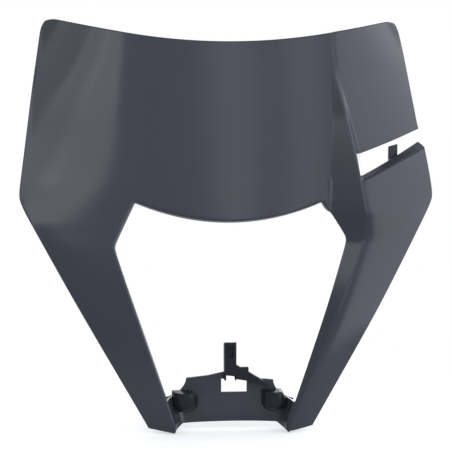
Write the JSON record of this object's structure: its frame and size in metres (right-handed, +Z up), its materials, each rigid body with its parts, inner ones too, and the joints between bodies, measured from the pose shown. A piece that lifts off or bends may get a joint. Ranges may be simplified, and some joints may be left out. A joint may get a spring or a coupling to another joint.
{
  "type": "headlight cowl",
  "caption": "Moulded front mask for an off-road motorcycle's headlamp: a leaning plate with swept wings, two legs beside the lamp opening, a bridge below and a slot for the brake hose.",
  "frame": {"origin": "middle of the bounding box in plan, at the level of the tips of the two feet", "axes": "+X to the right of someone who looks at the front, +Y to the rear, +Z up. The front faces -Y."},
  "size_m": [0.2921, 0.1, 0.2923],
  "materials": {
    "moulded_plastic": "satin, very fine grain, dark slate grey"
  },
  "bodies": {
    "root": {"headlight_cowl": "moulded_plastic"}
  },
  "joints": []
}
